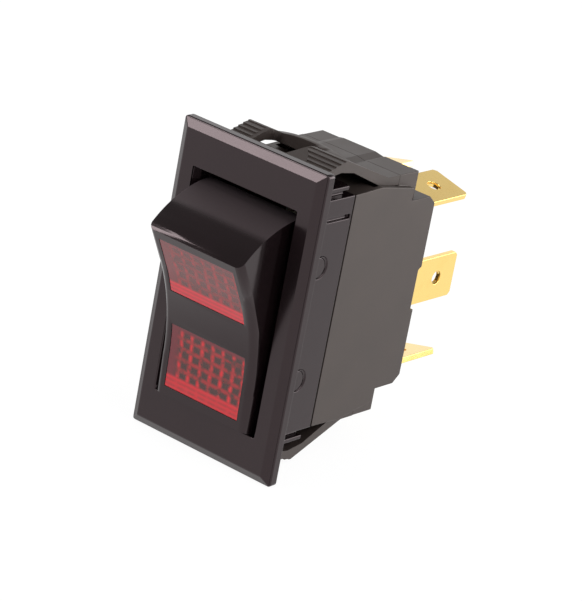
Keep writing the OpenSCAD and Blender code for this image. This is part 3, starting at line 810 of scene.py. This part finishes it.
@dataclass
class Inside:
    """The contacts, plungers and lamps inside the housing."""

    def build(self) -> None:
        """Gives every inner piece its finish."""
        both = [side.name.lower() for side in Side]
        ends = [end.name.lower() for end in End]
        silver = SILVER_ALLOY.material()
        dress([f"{e}_contact_{s}" for e in ends for s in both], silver)
        dress([f"bar_buttons_{s}" for s in both], silver)
        dress([f"contact_bar_{s}" for s in both], CONTACT_COPPER.material())
        nylon = WHITE_NYLON.material()
        dress([f"plunger_{s}" for s in both] + ["lamp_holder"], nylon)
        dress([f"plunger_spring_{s}" for s in both], SPRING_STEEL.material())
        dress([f"{e}_lamp" for e in ends], BULB_GLASS.material())
        dress([f"{e}_leads" for e in ends], TINNED_WIRE.material())


@dataclass(frozen=True)
class Softbox:
    """A rectangular soft lamp: its direction, distance and size in metres, and radiance.

    A radiance of 1 looks as bright as white paper.
    """

    name: str
    towards: tuple[float, float, float]
    distance: float
    size: tuple[float, float]
    radiance: float

    def hang(self) -> None:
        """Hangs the lamp so that it faces the switch."""
        data = bpy.data.lights.new(self.name, "AREA")
        data.shape = "RECTANGLE"
        data.size, data.size_y = self.size
        data.energy = self.radiance * math.pi * self.size[0] * self.size[1]
        place = Vector(self.towards).normalized() * self.distance
        turn = place.to_track_quat("Z", "Y").to_matrix().to_4x4()
        lamp = bpy.data.objects.new(self.name, data)
        lamp.matrix_world = Matrix.Translation(place) @ turn
        bpy.context.scene.collection.objects.link(lamp)


@dataclass
class Studio:
    """The camera, the lamps, the pale floor and the white room."""

    eye_mm: tuple[float, float, float] = (232.95, -311.01, 146.29)
    aim_mm: tuple[float, float, float] = (9.003, 0.0, 3.035)
    roll_deg: float = 10.827
    focal_px: float = 3219.9
    frame_px: int = 601
    sensor_mm: float = 36.0
    reach_m: tuple[float, float] = (0.01, 20.0)
    aim_below_mm: float = 0.286
    aim_right_mm: float = 0.032
    lamps: tuple[Softbox, ...] = (
        Softbox("front_softbox", (-0.547, -0.629, 0.552), 0.7, (0.34, 0.2), 8.0),
        Softbox("side_softbox", (0.757, -0.08, 0.65), 0.7, (0.26, 0.26), 6.0),
        Softbox("rear_card", (0.68, 0.72, 0.12), 0.35, (0.3, 0.26), 3.6),
    )
    fill: float = 0.62
    wall_glow: float = 1.05
    ceiling_glow: float = 0.3
    ceiling_from: float = 0.4
    ceiling_full: float = 0.62
    floor_m: float = 6.0
    floor_gap_mm: float = 0.1
    glow: float = 0.93
    card: str = "#f4f4f4"
    seen_card: str = "#595959"

    def camera(self) -> None:
        """Places the camera, turned about its own axis."""
        eye, aim = Vector(self.eye_mm) * MM, Vector(self.aim_mm) * MM
        forward = (aim - eye).normalized()
        right = forward.cross(Vector((0, 0, 1))).normalized()
        up = right.cross(forward)
        roll = math.radians(self.roll_deg)
        side = right * math.cos(roll) + up * math.sin(roll)
        top = up * math.cos(roll) - right * math.sin(roll)
        # The aim lies a little below and to the right of the middle of the frame.
        middle = aim + top * self.aim_below_mm * MM - side * self.aim_right_mm * MM
        forward = (middle - eye).normalized()
        side = (side - forward * side.dot(forward)).normalized()
        top = side.cross(forward)
        lens = bpy.data.cameras.new("studio_camera")
        lens.sensor_width = self.sensor_mm
        lens.lens = self.focal_px * self.sensor_mm / self.frame_px
        lens.clip_start, lens.clip_end = self.reach_m
        camera = bpy.data.objects.new("studio_camera", lens)
        turn = Matrix((side, top, -forward)).transposed().to_4x4()
        camera.matrix_world = Matrix.Translation(eye) @ turn
        bpy.context.scene.collection.objects.link(camera)
        bpy.context.scene.camera = camera

    def room(self) -> None:
        """Makes a white room whose ceiling is dark to reflections."""
        world = bpy.data.worlds.new("white_room")
        bpy.context.scene.world = world
        world.use_nodes = True
        tree = world.node_tree
        tree.nodes.clear()
        rays = add_node(tree, "ShaderNodeLightPath").outputs
        way = add_node(tree, "ShaderNodeTexCoord").outputs["Generated"]
        height = add_node(tree, "ShaderNodeSeparateXYZ", {"Vector": way}).outputs["Z"]
        ceiling = add_node(
            tree,
            "ShaderNodeMapRange",
            {
                "Value": height,
                "From Min": self.ceiling_from,
                "From Max": self.ceiling_full,
                "To Min": self.wall_glow,
                "To Max": self.ceiling_glow,
            },
            interpolation_type="SMOOTHSTEP",
        ).outputs["Result"]
        seen = add_node(
            tree,
            "ShaderNodeMath",
            {0: rays["Is Camera Ray"], 1: rays["Is Transmission Ray"]},
            operation="MAXIMUM",
        ).outputs["Value"]
        glossy = add_node(
            tree,
            "ShaderNodeMix",
            {"Factor": rays["Is Glossy Ray"], "A": self.fill, "B": ceiling},
            data_type="FLOAT",
        ).outputs["Result"]
        level = add_node(
            tree,
            "ShaderNodeMix",
            {"Factor": seen, "A": glossy, "B": 1.0},
            data_type="FLOAT",
        ).outputs["Result"]
        back = add_node(
            tree, "ShaderNodeBackground", {"Color": (1, 1, 1, 1), "Strength": level}
        )
        add_node(tree, "ShaderNodeOutputWorld", {"Surface": back.outputs["Background"]})

    def floor(self) -> None:
        """Lays a pale floor that stays white to the camera and keeps a faint shadow."""
        low = CAD_BOX[0][2] - self.floor_gap_mm * MM
        bpy.ops.mesh.primitive_plane_add(size=self.floor_m, location=(0, 0, low))
        floor = bpy.context.active_object
        floor.name = "studio_floor"
        material, tree = empty_material("pale_floor")
        rays = add_node(tree, "ShaderNodeLightPath").outputs
        seen = add_node(
            tree,
            "ShaderNodeMath",
            {0: rays["Is Camera Ray"], 1: rays["Is Glossy Ray"]},
            operation="MAXIMUM",
        ).outputs["Value"]
        seen = add_node(
            tree,
            "ShaderNodeMath",
            {0: seen, 1: rays["Is Transmission Ray"]},
            operation="MAXIMUM",
        ).outputs["Value"]
        tint = add_node(
            tree,
            "ShaderNodeMix",
            {"Factor": seen, 6: linear(self.card), 7: linear(self.seen_card)},
            data_type="RGBA",
        ).outputs[2]
        strength = add_node(
            tree, "ShaderNodeMath", {0: seen, 1: self.glow}, operation="MULTIPLY"
        ).outputs["Value"]
        card = add_node(tree, "ShaderNodeBsdfDiffuse", {"Color": tint}).outputs["BSDF"]
        glow = add_node(
            tree, "ShaderNodeEmission", {"Color": (1, 1, 1, 1), "Strength": strength}
        ).outputs["Emission"]
        both = add_node(tree, "ShaderNodeAddShader", {0: card, 1: glow})
        add_node(tree, "ShaderNodeOutputMaterial", {"Surface": both.outputs["Shader"]})
        floor.data.materials.append(material)

    def build(self) -> None:
        """Sets up the whole studio."""
        self.camera()
        self.room()
        self.floor()
        for lamp in self.lamps:
            lamp.hang()
        bpy.context.scene.view_settings.view_transform = "Standard"


def main() -> None:
    """Builds the switch's finishes and the studio."""
    logging.basicConfig(level=logging.INFO, format="%(name)s: %(message)s")
    bpy.ops.object.select_all(action="DESELECT")
    for part in (Housing(), Rocker(), Terminals(), Inside(), Studio()):
        part.build()
    bpy.context.view_layer.update()


if __name__ == "__main__":
    main()
